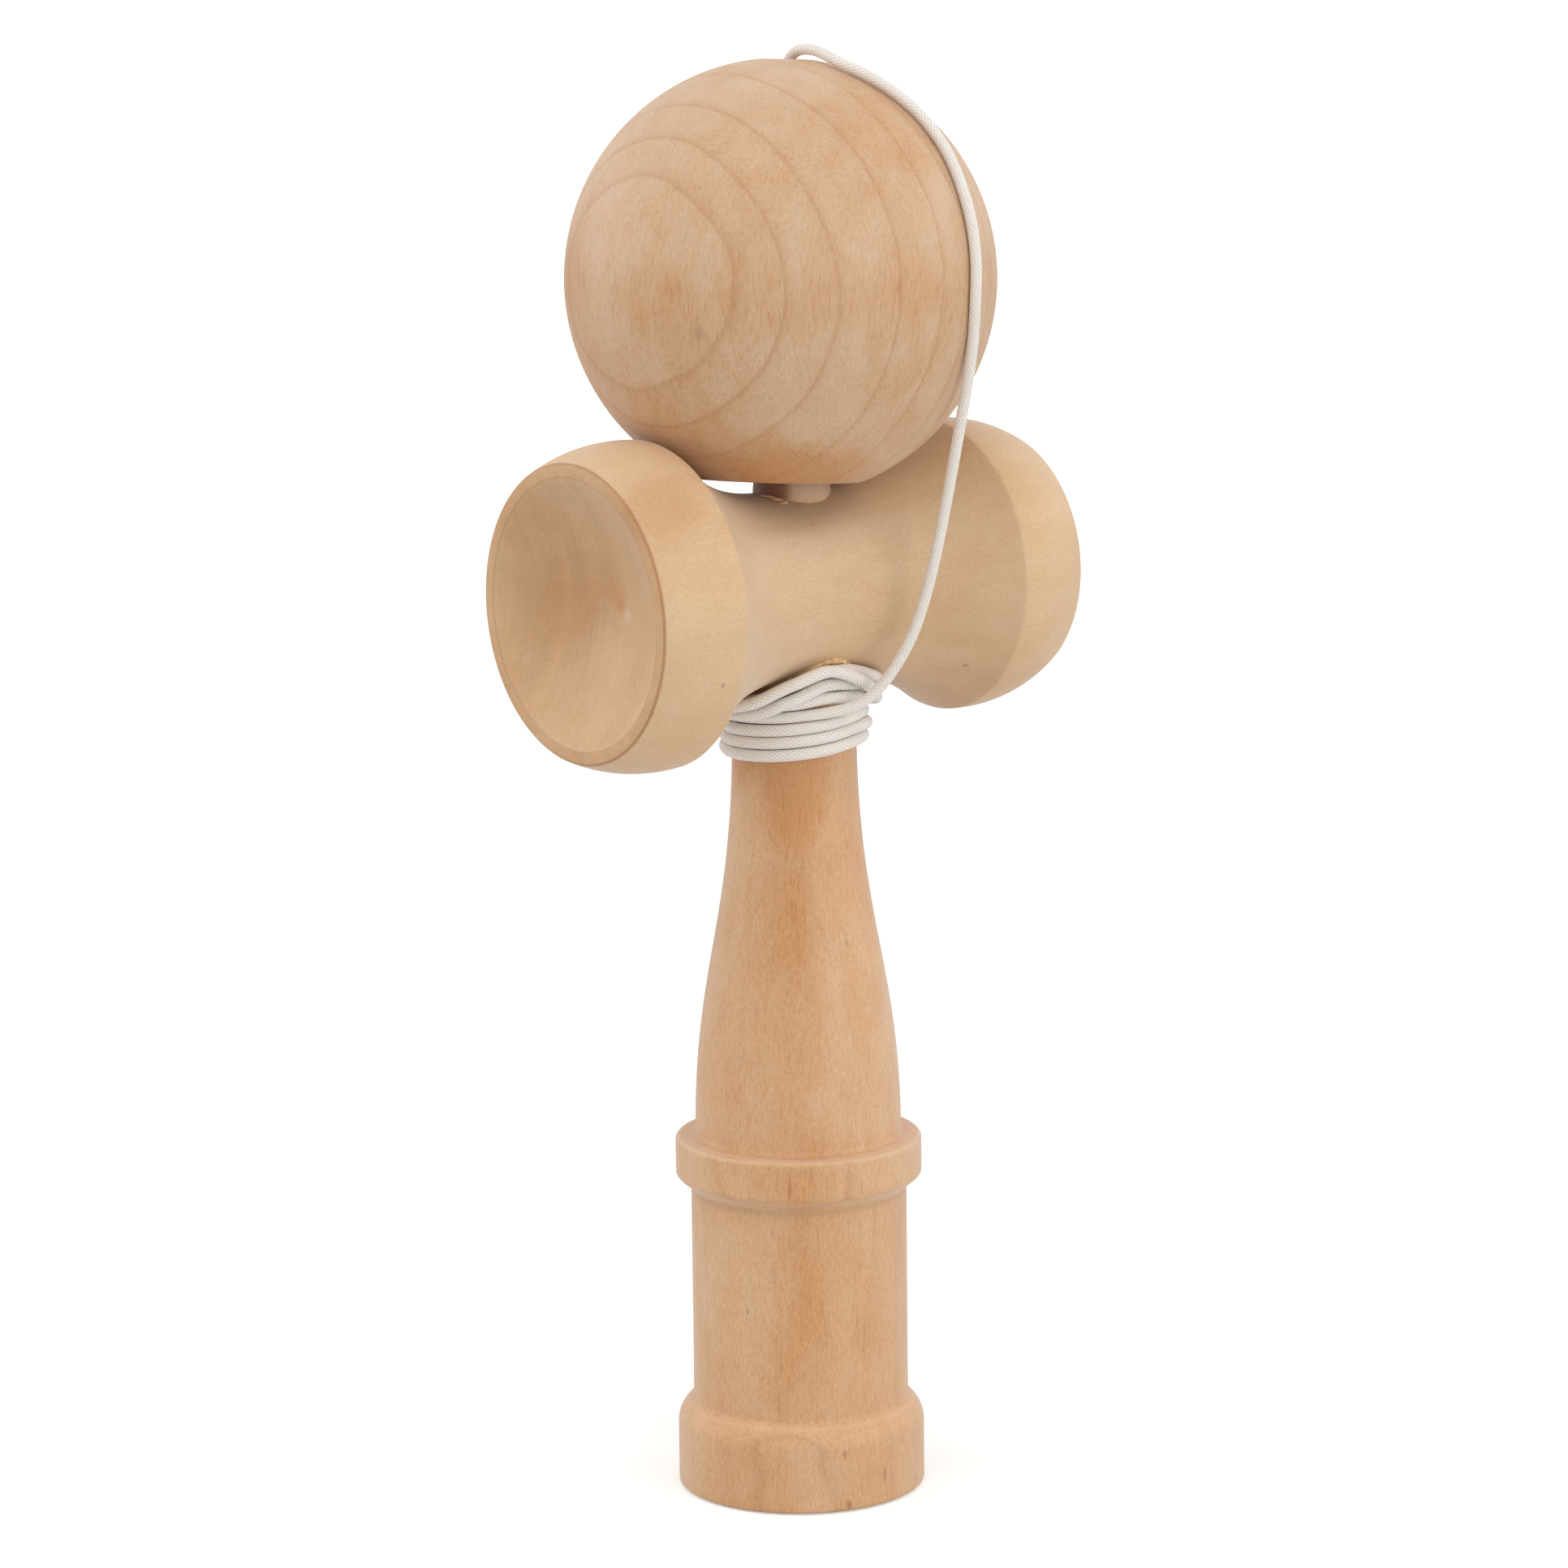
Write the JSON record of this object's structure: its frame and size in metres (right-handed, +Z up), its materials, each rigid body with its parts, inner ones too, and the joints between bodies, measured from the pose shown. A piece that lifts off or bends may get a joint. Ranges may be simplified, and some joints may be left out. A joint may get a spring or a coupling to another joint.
{
  "type": "cup and ball toy",
  "caption": "Turned wooden cup and ball toy: bored ball on a spiked handle with a double-cup cross piece, joined by a white cord wound round the neck.",
  "frame": {"origin": "middle of the foot's rim, where the toy stands", "axes": "+Z up along the handle, X along the cross piece with the big cup towards -X, front at -Y where the free cord climbs the ball"},
  "size_m": [0.0754, 0.0596, 0.2043],
  "materials": {
    "handle_wood": "bare turned hardwood, satin",
    "cross_wood": "bare turned hardwood, satin",
    "ball_wood": "bare turned hardwood, satin",
    "bead_wood": "bare wood",
    "cord": "braided white cord"
  },
  "bodies": {
    "handle": {"handle": "handle_wood", "cross_cup": "cross_wood", "cord_winding": "cord", "cord_run": "cord", "handle_knot": "cord"},
    "bead": {"bead": "bead_wood", "bead_knot": "cord", "cord_tail": "cord"},
    "ball": {"ball": "ball_wood"}
  },
  "joints": [
    {"name": "ball_lift", "type": "slide", "parent": "handle", "child": "bead", "axis": [0, 0, 1], "range_m": [0, 0.03], "deforming": ["cord_run"]},
    {"name": "ball_swivel", "type": "hinge", "parent": "bead", "child": "ball", "pos_m": [-0.0015, 0, 0.17228], "axis": [0.091, 0.0614, 0.994], "continuous": true}
  ]
}
